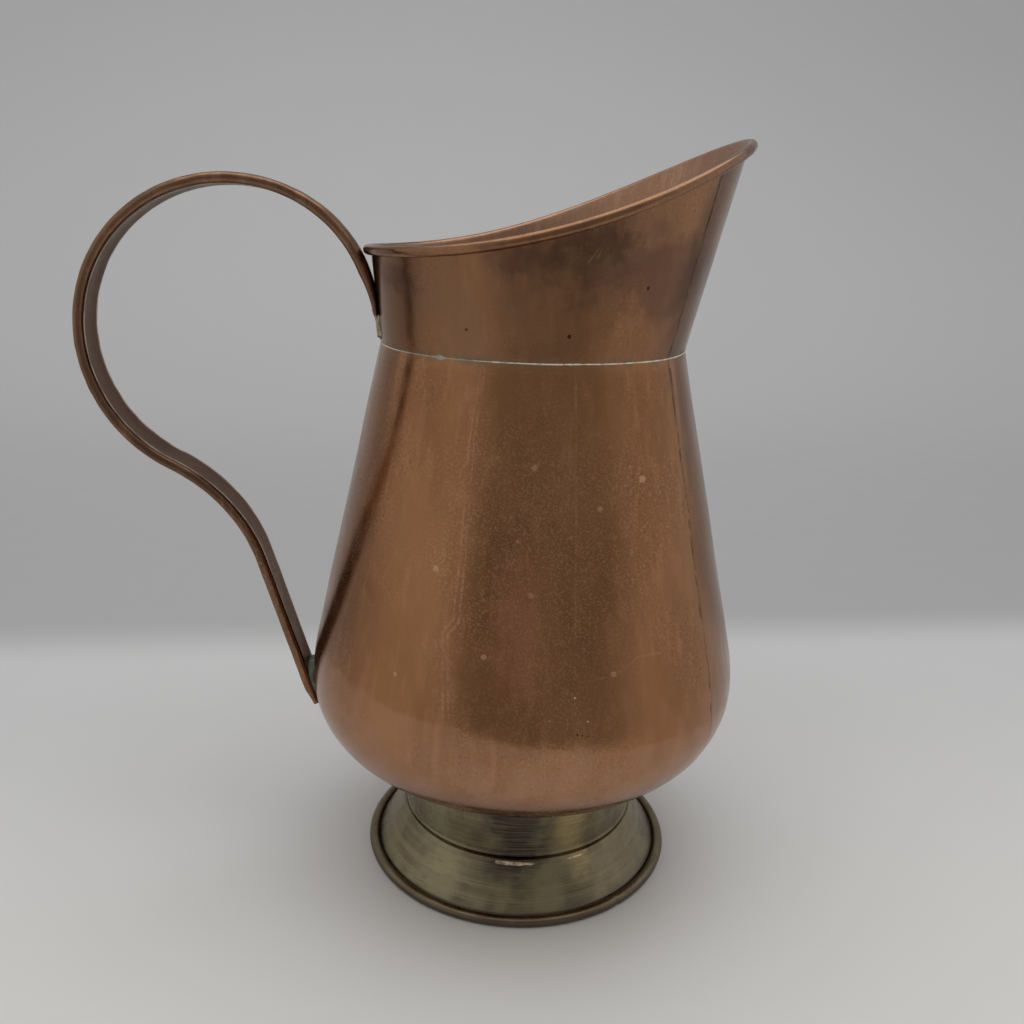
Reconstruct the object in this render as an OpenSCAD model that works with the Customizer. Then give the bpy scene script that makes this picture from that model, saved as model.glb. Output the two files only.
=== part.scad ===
// Copper water jug on a spun brass foot.
// The jug stands on z = 0 with its axis on Z, the pouring lip towards +X and the handle towards -X.

/* [Body] */
// Outer radius of the neck, where body and collar meet
neck_r = 63; // [61:0.5:65]
// Height of the neck seam above the table
neck_z = 235; // [230:1:240]
// Greatest outer radius of the body
belly_r = 94; // [92:0.5:96]
// Height of the widest place
belly_z = 89.5; // [88:0.5:92]
// Radius of the long curve from the widest place up into the cone
flank_curve_r = 78; // [70:1:85]
// Radius of the tight curve below the widest place
bowl_curve_r = 37; // [35:0.5:38]
// Turn of the tight curve before it flattens, in degrees
bowl_turn = 60; // [58:1:62]
// Radius of the flat curve that closes the bowl
floor_curve_r = 85; // [80:1:90]
// Radius of the hole left in the floor of the body
base_hole_r = 44; // [42:1:46]
// Height of the tongue of the body that stands inside the collar
neck_lap = 6; // [4:0.5:8]
// Thickness of the copper sheet
sheet_t = 1; // [0.8:0.1:1.2]

/* [Collar] */
// Growth of the collar's radius for each millimetre of height
collar_flare = 0.167; // [0.15:0.005:0.18]
// Shift of the collar's centre towards the lip for each millimetre of height
collar_lean = 0.066; // [0.05:0.002:0.08]
// Height of the rim over the neck seam at the handle
rim_back_h = 36.5; // [35:0.5:38]
// How much higher the rim is at the lip
lip_rise = 44.7; // [42:0.1:47]
// Exponent that keeps the rim low at the back and lifts it at the lip
lip_shape = 2.1; // [1.9:0.05:2.3]
// Radius of the wire in the rim
rim_wire_r = 1.05; // [0.95:0.05:1.2]
// Thickness of the collar's sheet
collar_t = 0.9; // [0.8:0.1:1]

/* [Handle] */
// Distance of the round loop's centre from the jug's axis
loop_x = 119.7; // [119:0.1:121]
// Height of the round loop's centre
loop_z = 237; // [236:0.1:238]
// Radius of the loop at the wires in the strap's edges
loop_r = 59.4; // [58:0.1:60]
// Radius of the bend where the strap leaves the collar
top_bend_r = 52; // [49:0.5:53]
// Radius of the reverse bend below the loop
low_bend_r = 71; // [65:0.5:75]
// Lean of the straight leg from the vertical, in degrees
leg_lean = 16.6; // [16.2:0.1:16.7]
// Distance of the leg from the axis at the height where it reaches the body
leg_x = 98.1; // [98:0.1:98.5]
// That height
leg_z = 90; // [89:0.5:91]
// Height of the leg's cut end
leg_end_z = 75.5; // [73:0.5:77]
// Height of the lower end of the rolled edges on the collar
rolls_end_z = 246; // [244:0.5:248]
// Height of the lower end of the flat tongue
tongue_end_z = 237.3; // [237:0.1:238]
// Distance between the wires in the strap's edges
strap_pitch = 16.5; // [16:0.5:18]
// Radius of the rolled edges
strap_roll_r = 2.15; // [2:0.05:2.3]
// Thickness of the strap
strap_t = 0.9; // [0.8:0.1:1]

/* [Foot] */
// Outer radius of the brass drum
drum_r = 52.6; // [51:0.2:53]
// Height of the line between drum and skirt
drum_z = 21.75; // [21:0.25:23]
// Thickness of the drum's sheet
drum_t = 1.2; // [1:0.1:1.4]
// Radius of the circle of the wire in the skirt's edge
skirt_wire_pitch_r = 68.3; // [67:0.1:69]
// Radius of the skirt's rolled edge
skirt_roll_r = 2.3; // [2.2:0.05:2.4]
// Thickness of the skirt's sheet
skirt_t = 1; // [0.8:0.1:1.1]
// How far the rolled edge is worn flat underneath
wear = 0.3; // [0.2:0.05:0.4]

/* [Seams] */
// Direction of the upright lap seams, in degrees from the lip
seam_angle = -42; // [-50:1:-35]
// Width of the solder line along an upright seam
seam_w = 1.2; // [0.8:0.1:1.6]
// How far solder stands proud of the sheet
solder_proud = 0.3; // [0.2:0.05:0.4]

/* [Hidden] */

// Smoothness
turn_fn = 96;
rim_steps = 72;
roll_steps = 9;
loop_steps = 34;
bend_steps = 9;

// Clearances and laps
fit_gap = 0.05;
bite = 0.4;

// Colours
copper = [0.52, 0.33, 0.22];
copper_dark = [0.42, 0.28, 0.2];
brass = [0.42, 0.37, 0.23];
solder_grey = [0.66, 0.65, 0.58];
solder_brown = [0.47, 0.36, 0.24];
verdigris = [0.3, 0.42, 0.34];
wire_grey = [0.45, 0.43, 0.4];

// ---------- general helpers ----------

function unit(v) = v / norm(v);
function polar(r, a) = [r * cos(a), r * sin(a)];
function arc(centre, r, a0, a1, n) = [for (i = [0:n]) centre + polar(r, a0 + (a1 - a0) * i / n)];
function reversed(list) = [for (i = [len(list) - 1:-1:0]) list[i]];

// Joins rings of points into one closed solid. Each ring has the same number of points.
// looped joins the last ring to the first; otherwise both ends are closed with a flat cap.
module skin(rings, looped = false) {
    n = len(rings);
    m = len(rings[0]);
    last = looped ? n - 1 : n - 2;
    sides = [for (i = [0:last], j = [0:m - 1])
        let (k = (i + 1) % n, l = (j + 1) % m)
        each [[i * m + j, i * m + l, k * m + l], [i * m + j, k * m + l, k * m + j]]];
    caps = looped ? [] : [[for (j = [m - 1:-1:0]) j], [for (j = [0:m - 1]) (n - 1) * m + j]];
    points = [for (ring = rings) each ring];
    polyhedron(points, concat(sides, caps), convexity = 8);
}

// ---------- body ----------

// Centres of the three curves of the body's outline
flank_c = [belly_r - flank_curve_r, belly_z];
bowl_c = [belly_r - bowl_curve_r, belly_z];
floor_c = bowl_c - polar(floor_curve_r - bowl_curve_r, -bowl_turn);

// The cone runs from the neck to where it touches the flank curve
to_neck = [neck_r, neck_z] - flank_c;
cone_angle = atan2(to_neck[1], to_neck[0]) - acos(flank_curve_r / norm(to_neck));
cone_top = [neck_r, neck_z];
cone_dir = [-sin(cone_angle), cos(cone_angle)];

// Radius of the body at a height on the cone, and height of the floor at a radius
function cone_r(z) = neck_r + (neck_z - z) * tan(cone_angle);
function floor_z(r, inset) = floor_c[1] - sqrt(pow(floor_curve_r - inset, 2) - pow(r - floor_c[0], 2));
function floor_angle(r, inset) = -acos((r - floor_c[0]) / (floor_curve_r - inset));

// Outline of the body from the neck down to radius r in the floor, moved inwards by inset
function body_curve(inset, r) = concat(
    arc(flank_c, flank_curve_r - inset, cone_angle, 0, 4),
    arc(bowl_c, bowl_curve_r - inset, -bowl_turn / 8, -bowl_turn, 7),
    [for (i = [1:4]) floor_c + polar(floor_curve_r - inset,
        -bowl_turn + (floor_angle(r, inset) + bowl_turn) * i / 4)]);

lap_r = neck_r - collar_t - fit_gap;
cone_top_in = cone_top - polar(sheet_t, cone_angle) - 2 * cone_dir;

module body() {
    outside = concat([[lap_r, neck_z + neck_lap], [lap_r, neck_z], cone_top],
        body_curve(0, base_hole_r));
    inside = concat([[lap_r - sheet_t, neck_z + neck_lap], [lap_r - sheet_t, neck_z], cone_top_in],
        body_curve(sheet_t, base_hole_r));
    color(copper)
        rotate_extrude($fn = turn_fn)
            polygon(concat(outside, reversed(inside)));
}

// The disc lies on the floor around the hole and rises a little to its centre
disc_r = 49;
disc_rise = 2;
function disc_z(r) = floor_z(r, sheet_t) + fit_gap;

module bottom_disc() {
    under = [[disc_r, disc_z(disc_r)], [base_hole_r, disc_z(base_hole_r)],
        [0, disc_z(base_hole_r) + disc_rise]];
    color(copper)
        rotate_extrude($fn = turn_fn)
            polygon(concat(under, [for (p = reversed(under)) p + [0, sheet_t]]));
}

// ---------- collar ----------

// Point of the collar's outer face at a turn from the lip and a height over the neck seam
function collar_point(turn, h) = [
    collar_lean * h + (neck_r + collar_flare * h) * cos(turn),
    (neck_r + collar_flare * h) * sin(turn),
    neck_z + h];
function collar_out(turn) = unit([cos(turn), sin(turn), -(collar_flare + collar_lean * cos(turn))]);
function rim_h(turn) = rim_back_h + lip_rise * pow((1 + cos(turn)) / 2, lip_shape);
function rim_point(turn) = collar_point(turn, rim_h(turn));
function rim_along(turn) = unit(rim_point(turn + 1) - rim_point(turn - 1));
function rim_up(turn) = cross(collar_out(turn), rim_along(turn));
function rim_centre(turn) = rim_point(turn) + rim_wire_r * collar_out(turn);
// Point around the rim's wire; angle 0 faces outwards and 90 upwards
function around_rim(turn, r, a) =
    rim_centre(turn) + r * cos(a) * collar_out(turn) + r * sin(a) * rim_up(turn);

rim_roll_r = rim_wire_r + collar_t;
// The rolled edge comes round to just short of the wall again
rim_roll_end = -acos(-rim_wire_r / rim_roll_r) + 8;

function collar_ring(turn) = concat(
    [collar_point(turn, 0)],
    [for (i = [0:roll_steps])
        around_rim(turn, rim_wire_r, 180 + (rim_roll_end - 180) * i / roll_steps)],
    [for (i = [0:roll_steps])
        around_rim(turn, rim_roll_r, rim_roll_end + (180 - rim_roll_end) * i / roll_steps)],
    [collar_point(turn, 0) - collar_t * [cos(turn), sin(turn), 0]]);

module collar() {
    color(copper)
        skin([for (i = [0:rim_steps - 1]) collar_ring(360 * i / rim_steps)], looped = true);
}

module rim_wire() {
    wire_sides = 8;
    color(wire_grey)
        skin([for (i = [0:rim_steps - 1])
            [for (j = [0:wire_sides - 1])
                around_rim(360 * i / rim_steps, rim_wire_r * 0.9, -360 * j / wire_sides)]],
            looped = true);
}

// ---------- handle ----------

// The path of the wires lies in the XZ plane as [distance from the axis, height].
// It is the collar's wall line, the top bend, the loop, the low bend and the leg, each touching
// the next.
loop_c = [loop_x, loop_z];
wall_lean = atan(collar_flare - collar_lean);
// The rolled edges stand beside the collar's nearest line, so its roundness lets them in a little
roundness = neck_r - sqrt(pow(neck_r, 2) - pow(strap_pitch / 2, 2));
wall_foot = [neck_r + strap_roll_r - roundness, neck_z];
wall_up = [sin(wall_lean), cos(wall_lean)];
wall_out = [cos(wall_lean), -sin(wall_lean)];
leg_down = [-sin(leg_lean), -cos(leg_lean)];
leg_out = [cos(leg_lean), -sin(leg_lean)];

// Point at distance r from the loop's centre on the line through p along dir, the further along
function on_circle(p, dir, r) = p + dir * (-(p - loop_c) * dir
    + sqrt(pow((p - loop_c) * dir, 2) - (p - loop_c) * (p - loop_c) + r * r));

top_c = on_circle(wall_foot + top_bend_r * wall_out, wall_up, loop_r - top_bend_r);
low_c = on_circle([leg_x, leg_z] + low_bend_r * leg_out, leg_down, loop_r + low_bend_r);
loop_start = atan2(top_c[1] - loop_c[1], top_c[0] - loop_c[0]);
loop_end = atan2(low_c[1] - loop_c[1], low_c[0] - loop_c[0]);

wall_point = wall_foot + wall_up * (rolls_end_z - neck_z) / cos(wall_lean);
function leg_at(z) = [leg_x, leg_z] + leg_down * (leg_z - z) / cos(leg_lean);
// The leg's end is hammered flatter over its last few millimetres
flat_from_z = leg_end_z + 8;
end_flatness = 0.65;
// The strap is hammered towards the collar, more and more down to where its rolled edges end
top_flatness = 0.45;
pressed_h = 17;

path = concat(
    [wall_point],
    arc(top_c, top_bend_r, 180 - wall_lean, loop_start, bend_steps),
    [for (i = [1:loop_steps])
        loop_c + polar(loop_r, loop_start + (loop_end - loop_start) * i / loop_steps)],
    [for (i = [1:bend_steps])
        low_c + polar(low_bend_r, 180 + loop_end + (-leg_lean - loop_end) * i / bend_steps)],
    [leg_at(flat_from_z), leg_at(leg_end_z)]);

// Direction of the path at each point, and the side that faces out of the loop
function along(i) = unit(path[min(i + 1, len(path) - 1)] - path[max(i - 1, 0)]);
function outward(i) = [-along(i)[1], along(i)[0]];
function place(i, y, n) = let (p = path[i] + n * outward(i)) [-p[0], y, p[1]];
// A section's height over the path, pressed flatter at the path's two ends
function top_share(i) = i > bend_steps ? 1
    : min(1, top_flatness + (1 - top_flatness) * (path[i][1] - rolls_end_z) / pressed_h);
function pressed(i, n) = i == len(path) - 1 ? (n + strap_roll_r) * end_flatness - strap_roll_r
    : strap_roll_r - (strap_roll_r - n) * top_share(i);

// Section of one rolled edge, seen along the path, as [sideways, outwards]. It begins at the
// strap's flat web, on the inner side of the loop, and curls round the wire.
roll_from = -90;
roll_to = 205;
strap_wire_r = strap_roll_r - strap_t;
roll_c = [strap_pitch / 2, 0];
right_edge = concat(arc(roll_c, strap_roll_r, roll_from, roll_to, roll_steps - 1),
    arc(roll_c, strap_wire_r, roll_to, roll_from, roll_steps - 1));
left_edge = [for (p = reversed(right_edge)) [-p[0], p[1]]];
strap_section = concat(right_edge, left_edge);

// Below the rolled edges the strap's web runs on as a flat tongue, bent in against the collar.
// Each row is the tongue's outer face and then its inner face, as [distance from the axis, height].
tongue_top_z = rolls_end_z - 4;
tongue_half_w = strap_pitch / 2 - 0.75;
function back_wall_r(z) = neck_r + (collar_flare - collar_lean) * (z - neck_z);
function tongue_row(z, gap) = let (x = back_wall_r(z) + gap) [[x + strap_t, z], [x, z]];
tongue_rows = [tongue_row(tongue_top_z, 0.5), tongue_row(tongue_end_z, 0.1)];

module handle_strap() {
    rings = [for (i = [0:len(path) - 1]) [for (p = strap_section) place(i, p[0], pressed(i, p[1]))]];
    n = len(rings);
    m = len(strap_section);
    edge = len(right_edge);
    sides = [for (i = [0:n - 2], j = [0:m - 1])
        let (l = (j + 1) % m)
        each [[i * m + j, i * m + l, (i + 1) * m + l], [i * m + j, (i + 1) * m + l, (i + 1) * m + j]]];
    // The leg's end and the upper ends of the two rolls are closed flat
    leg_cap = [for (j = [0:m - 1]) (n - 1) * m + j];
    right_cap = [for (j = [edge - 1:-1:0]) j];
    left_cap = [for (j = [m - 1:-1:edge]) j];
    // The corners of the web, then the same corners in each row of the tongue
    web = [0, edge - 1, edge, m - 1];
    tongue_points = [for (row = tongue_rows)
        each [[-row[0][0], tongue_half_w, row[0][1]], [-row[1][0], tongue_half_w, row[1][1]],
            [-row[1][0], -tongue_half_w, row[1][1]], [-row[0][0], -tongue_half_w, row[0][1]]]];
    levels = concat([web], [for (i = [0:len(tongue_rows) - 1]) [for (j = [0:3]) n * m + 4 * i + j]]);
    tongue_sides = [for (i = [0:len(levels) - 2], j = [0:3])
        let (a = levels[i], b = levels[i + 1], k = (j + 1) % 4)
        each [[a[k], a[j], b[j]], [a[k], b[j], b[k]]]];
    tip = [for (j = [3:-1:0]) levels[len(levels) - 1][j]];
    color(copper_dark)
        polyhedron(concat([for (ring = rings) each ring], tongue_points),
            concat(sides, tongue_sides, [leg_cap, right_cap, left_cap, tip]), convexity = 8);
}

module handle_wire(y) {
    wire_sides = 8;
    color(wire_grey)
        skin([for (i = [0:len(path) - 1])
            [for (j = [0:wire_sides - 1])
                let (p = polar(strap_wire_r * 0.9, 360 * j / wire_sides))
                place(i, y + p[0], pressed(i, p[1]))]]);
}

module handle_wire_near() {
    handle_wire(-strap_pitch / 2);
}

module handle_wire_far() {
    handle_wire(strap_pitch / 2);
}

// ---------- foot ----------

drum_top = floor_z(drum_r, 0) - fit_gap;

module foot_drum() {
    color(brass)
        rotate_extrude($fn = turn_fn)
            polygon([[drum_r, drum_z], [drum_r, drum_top],
                [drum_r - drum_t, floor_z(drum_r - drum_t, 0) - fit_gap], [drum_r - drum_t, drum_z]]);
}

// The skirt stands up a little inside the drum, steps out under it, slopes down and is rolled
// outwards round its wire. The roll is worn flat where it stands.
upstand_r = drum_r - drum_t - fit_gap;
upstand_h = 5;
step_w = 1.6;
step_curve = 1.2;
skirt_roll_c = [skirt_wire_pitch_r, skirt_roll_r - wear];
skirt_wire_r = skirt_roll_r - skirt_t;
step_c = [drum_r + step_w - step_curve, drum_z - step_curve];
// The slope touches the step's curve above and the roll below
slope_span = skirt_roll_c - step_c;
slope_angle = atan2(slope_span[1], slope_span[0])
    + acos((step_curve + skirt_wire_r) / norm(slope_span));
roll_start = slope_angle - 180;
roll_stop = roll_start + 300;

function worn(p) = [p[0], max(p[1], 0)];

module foot_skirt() {
    outside = concat([[upstand_r, drum_z + upstand_h], [upstand_r, drum_z]],
        arc(step_c, step_curve, 90, slope_angle, 3),
        arc(skirt_roll_c, skirt_wire_r, roll_start, roll_stop, 20));
    inside = concat(
        [[upstand_r - skirt_t, drum_z + upstand_h], [upstand_r - skirt_t, drum_z - skirt_t]],
        arc(step_c, step_curve - skirt_t, 90, slope_angle, 2),
        arc(skirt_roll_c, skirt_roll_r, roll_start, roll_stop, 20));
    color(brass)
        rotate_extrude($fn = turn_fn)
            polygon([for (p = concat(outside, reversed(inside))) worn(p)]);
}

module foot_wire() {
    color(wire_grey)
        translate([0, 0, skirt_roll_c[1]])
            rotate_extrude($fn = turn_fn)
                translate([skirt_roll_c[0], 0])
                    circle(r = skirt_wire_r * 0.95, $fn = 24);
}

// ---------- solder ----------

module neck_solder() {
    half_h = 0.7;
    color(solder_grey)
        rotate_extrude($fn = turn_fn)
            polygon([[neck_r - bite, neck_z - half_h], [cone_r(neck_z - half_h), neck_z - half_h],
                [neck_r + solder_proud, neck_z], [neck_r + collar_flare * half_h, neck_z + half_h],
                [neck_r - bite, neck_z + half_h]]);
}

module body_seam_solder() {
    gap_below_neck = 1.5;
    outline = concat([cone_top - gap_below_neck * cone_dir], body_curve(0, drum_r + 6));
    proud = concat([cone_top - gap_below_neck * cone_dir + polar(solder_proud, cone_angle)],
        body_curve(-solder_proud, drum_r + 6));
    sunk = concat([cone_top - gap_below_neck * cone_dir - polar(bite, cone_angle)],
        body_curve(bite, drum_r + 6));
    strip = seam_w / neck_r * 180 / PI;
    color(solder_brown)
        rotate([0, 0, seam_angle - strip / 2])
            rotate_extrude(angle = strip, $fn = turn_fn)
                polygon(concat(proud, reversed(sunk)));
}

module collar_seam_solder() {
    strip = seam_w / neck_r * 180 / PI;
    under_rim = 3;
    foot = 1.2;
    color(solder_brown)
        skin([for (h = [foot, rim_h(seam_angle) - under_rim])
            [for (c = [[-1, solder_proud], [1, solder_proud], [1, -bite], [-1, -bite]])
                let (turn = seam_angle - c[0] * strip / 2)
                collar_point(turn, h) + c[1] * collar_out(turn)]]);
}

// A wedge across the handle, given by its outline in the XZ plane
module wedge(outline, w) {
    translate([0, w / 2, 0])
        rotate([90, 0, 0])
            linear_extrude(w)
                polygon([for (p = outline) [-p[0], p[1]]]);
}

module handle_top_solder() {
    top_z = rolls_end_z + 1;
    low_z = tongue_end_z + 0.4;
    between_rolls = strap_pitch - 2 * strap_roll_r - 0.4;
    color(solder_grey)
        wedge([[back_wall_r(low_z) - bite / 2, low_z],
            [back_wall_r(low_z) + 0.3, low_z],
            [back_wall_r(tongue_top_z) + 0.8, tongue_top_z],
            [back_wall_r(top_z) + (2 * strap_roll_r - strap_t) * top_flatness + bite, top_z],
            [back_wall_r(top_z) - bite / 2, top_z]], between_rolls);
}

// Solder and verdigris in the narrow gap between the leg and the body
module handle_bottom_solder() {
    face = strap_roll_r - 0.2;
    top_z = leg_z + 2;
    function leg_face(z) = leg_x - (leg_z - z) * tan(leg_lean) - face / cos(leg_lean);
    function skin_r(z) = z > belly_z ? flank_c[0] + sqrt(pow(flank_curve_r, 2) - pow(z - belly_z, 2))
        : bowl_c[0] + sqrt(pow(bowl_curve_r, 2) - pow(z - belly_z, 2));
    heights = [for (i = [0:5]) leg_end_z + (top_z - leg_end_z) * i / 5];
    color(verdigris)
        wedge(concat([for (z = heights) [skin_r(z) - bite, z]],
            [for (z = reversed(heights)) [max(leg_face(z), skin_r(z) + 0.2), z]]), strap_pitch);
}

module bowl_foot_solder() {
    band_h = 3.5;
    reach = 3;
    color(solder_brown)
        rotate_extrude($fn = turn_fn)
            polygon([[drum_r - bite, drum_top - band_h], [drum_r + 0.15, drum_top - band_h],
                [drum_r + 0.6, drum_top - 0.8], [drum_r + reach, floor_z(drum_r + reach, 0) - 0.1],
                [drum_r + reach, floor_z(drum_r + reach, 0) + bite / 2],
                [drum_r - bite, floor_z(drum_r - bite, 0) + bite / 2]]);
}

module drum_skirt_solder() {
    top = drum_z + upstand_h;
    color(solder_grey)
        rotate_extrude($fn = turn_fn)
            polygon([[upstand_r - 0.9, top - 0.1], [upstand_r + fit_gap + bite / 2, top - 0.1],
                [upstand_r + fit_gap + bite / 2, top + 1.2]]);
}

module bottom_solder() {
    edge = disc_z(disc_r);
    color(solder_grey)
        rotate_extrude($fn = turn_fn)
            polygon([[disc_r - bite, edge + 0.3], [disc_r + 2, floor_z(disc_r + 2, sheet_t) - 0.1],
                [disc_r + 2, floor_z(disc_r + 2, sheet_t) + 0.1], [disc_r - bite, edge + sheet_t + 0.2]]);
}

// ---------- assembly ----------

body();
bottom_disc();
collar();
rim_wire();
handle_strap();
handle_wire_near();
handle_wire_far();
foot_drum();
foot_skirt();
foot_wire();
neck_solder();
body_seam_solder();
collar_seam_solder();
handle_top_solder();
handle_bottom_solder();
bowl_foot_solder();
drum_skirt_solder();
bottom_solder();
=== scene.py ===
"""A copper water jug on a brass foot, dressed for the camera.

Lengths are in millimetres in the row's frame: the jug's axis is Z, the table is z = 0, the pouring
lip is towards +X and the handle towards -X. Blender gets them in metres through MM.
"""
import math
import bpy
from mathutils import Matrix, Vector, noise


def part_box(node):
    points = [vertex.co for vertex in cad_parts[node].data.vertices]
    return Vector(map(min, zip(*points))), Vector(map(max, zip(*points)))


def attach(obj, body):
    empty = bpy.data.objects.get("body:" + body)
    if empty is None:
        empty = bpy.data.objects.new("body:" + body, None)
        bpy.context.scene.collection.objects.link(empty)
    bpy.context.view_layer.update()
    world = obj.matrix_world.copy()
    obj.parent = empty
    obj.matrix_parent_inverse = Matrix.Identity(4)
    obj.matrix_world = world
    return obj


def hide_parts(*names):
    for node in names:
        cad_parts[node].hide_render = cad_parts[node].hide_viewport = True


MM = 0.001
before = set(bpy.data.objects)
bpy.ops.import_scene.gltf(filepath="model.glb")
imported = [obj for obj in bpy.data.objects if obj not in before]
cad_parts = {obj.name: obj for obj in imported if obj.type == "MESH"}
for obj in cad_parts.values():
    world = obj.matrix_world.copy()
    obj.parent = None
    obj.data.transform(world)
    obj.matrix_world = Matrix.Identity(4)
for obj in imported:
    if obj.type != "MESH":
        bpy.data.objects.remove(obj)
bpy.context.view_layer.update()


def cad(node):
    """The lowest and highest corner of a CAD node, in millimetres."""
    low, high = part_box(node)
    return low / MM, high / MM


# ---------- sizes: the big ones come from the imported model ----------

NECK_Z = (cad("neck_solder")[0].z + cad("neck_solder")[1].z) / 2
NECK_R = 63.0
BELLY_R = cad("body")[1].x
BELLY_Z = 89.5
FLANK_CURVE_R = 78.0
BOWL_CURVE_R = 37.0
BOWL_TURN = math.radians(60)
FLOOR_CURVE_R = 85.0
BASE_HOLE_R = 44.0
LAP_H = cad("body")[1].z - NECK_Z
SHEET = 1.0

COLLAR_SHEET = 0.9
COLLAR_FLARE = 0.167
COLLAR_LEAN = 0.066
RIM_BACK_H = 36.5
LIP_RISE = 44.7
LIP_SHAPE = 2.1
RIM_WIRE_R = 1.05
RIM_ROLL_R = RIM_WIRE_R + COLLAR_SHEET

LOOP = Vector((119.7, 237.0))
LOOP_R = 59.4
TOP_BEND_R = 52.0
LOW_BEND_R = 71.0
LEG_LEAN = math.radians(16.6)
LEG = Vector((98.1, 90.0))
LEG_END_Z = 75.5
ROLLS_END_Z = 246.0
TONGUE_END_Z = 237.3
STRAP_PITCH = 16.5
STRAP_ROLL_R = 2.15
STRAP_SHEET = 0.9
STRAP_WIRE_R = STRAP_ROLL_R - STRAP_SHEET
# The strap is pressed to this share of its thickness where its rolled edges end on the collar
TOP_FLATNESS = 0.45
PRESSED_H = 17.0
# The strap has a cross-section about this far apart
STRAP_STEP = 1.6

DRUM_R = 52.6
DRUM_Z = 21.75
DRUM_SHEET = 1.2
SKIRT_WIRE_PITCH_R = 68.3
SKIRT_ROLL_R = 2.3
SKIRT_SHEET = 1.0
FOOT_WEAR = 0.3

# Directions of the lap seam of body and collar, and of the butt joint in the skirt's rolled edge
SEAM = math.radians(-42)
BUTT = math.radians(-58)
# Folds sharper than this are shaded as edges
EDGE_ANGLE = math.radians(32)


# ---------- small geometry helpers ----------

def polar(radius, angle):
    return Vector((radius * math.cos(angle), radius * math.sin(angle)))


def arc(centre, radius, start, stop, step):
    """Points along an arc, both ends included, no further than step apart."""
    count = max(2, math.ceil(abs(stop - start) * abs(radius) / step))
    return [centre + polar(radius, start + (stop - start) * i / count) for i in range(count + 1)]


def straight(a, b, step):
    """Points from a up to b, without b."""
    count = max(1, math.ceil((b - a).length / step))
    return [a.lerp(b, i / count) for i in range(count)]


def smooth_step(x):
    x = min(max(x, 0.0), 1.0)
    return x * x * (3 - 2 * x)


def bell(x, width):
    return math.exp(-(x / width) ** 2)


def angle_between(a, b):
    """a - b, brought to between -pi and pi."""
    return (a - b + math.pi) % math.tau - math.pi


def rough(point, size, depth, seed=0):
    """A random-looking height of about +-depth, with lumps of about the given size."""
    return depth * noise.noise(point / size + Vector((seed * 7.3, seed * 3.1, seed * 5.7)))


def around(radius, angle, z):
    return Vector((radius * math.cos(angle), radius * math.sin(angle), z))


def turns(count, extra=()):
    """Evenly spaced angles round the jug, with a close pair at each extra angle."""
    close = math.radians(0.12)
    angles = [math.tau * i / count - math.pi for i in range(count)]
    for angle in extra:
        angles = [a for a in angles if abs(angle_between(a, angle)) > math.radians(0.5)]
        angles += [angle - close, angle + close]
    return sorted(angles)


# ---------- making pieces ----------

def piece(name, parts, finish, nodes=(), inner=None):
    """A mesh from one or more skins, each a list of rings and whether it closes on itself.

    inner is (first, finish): faces from that place in a ring onwards take the second finish.
    """
    points = []
    faces = []
    inside = []
    for rings, looped in parts:
        first = len(points)
        around_count = len(rings[0])
        for ring in rings:
            points += ring
        last = len(rings) if looped else len(rings) - 1
        for i in range(last):
            here = first + i * around_count
            there = first + (i + 1) % len(rings) * around_count
            for j in range(around_count):
                k = (j + 1) % around_count
                if inner and j >= inner[0]:
                    inside.append(len(faces))
                faces.append((here + j, here + k, there + k, there + j))
        if not looped:
            faces.append(tuple(first + j for j in reversed(range(around_count))))
            end = first + (len(rings) - 1) * around_count
            faces.append(tuple(end + j for j in range(around_count)))
    mesh = bpy.data.meshes.new(name)
    mesh.from_pydata([p * MM for p in points], [], faces)
    mesh.shade_smooth()
    mesh.set_sharp_from_angle(angle=EDGE_ANGLE)
    mesh.materials.append(finish)
    if inner:
        mesh.materials.append(inner[1])
        for i in inside:
            mesh.polygons[i].material_index = 1
    obj = bpy.data.objects.new(name, mesh)
    bpy.context.scene.collection.objects.link(obj)
    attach(obj, "root")
    if nodes:
        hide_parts(*nodes)
    return obj


def lathe(profile, angles, change=None):
    """Rings for a closed profile of (radius, height) turned round the axis.

    change moves each point.
    """
    rings = []
    for angle in angles:
        ring = [around(p.x, angle, p.y) for p in profile]
        if change:
            ring = [change(point, angle) for point in ring]
        rings.append(ring)
    return rings, True


def tube(path, radius, sides=14):
    """Rings round a path. radius is a function of the share of the path and the angle round it."""
    rings = []
    for i, point in enumerate(path):
        along = (path[min(i + 1, len(path) - 1)] - path[max(i - 1, 0)]).normalized()
        side = along.orthogonal().normalized()
        up = along.cross(side)
        share = i / (len(path) - 1)
        ring = []
        for j in range(sides):
            turn = math.tau * j / sides
            direction = side * math.cos(turn) + up * math.sin(turn)
            ring.append(point + direction * radius(share, point + direction))
        rings.append(ring)
    return rings, False


# ---------- materials ----------

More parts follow.
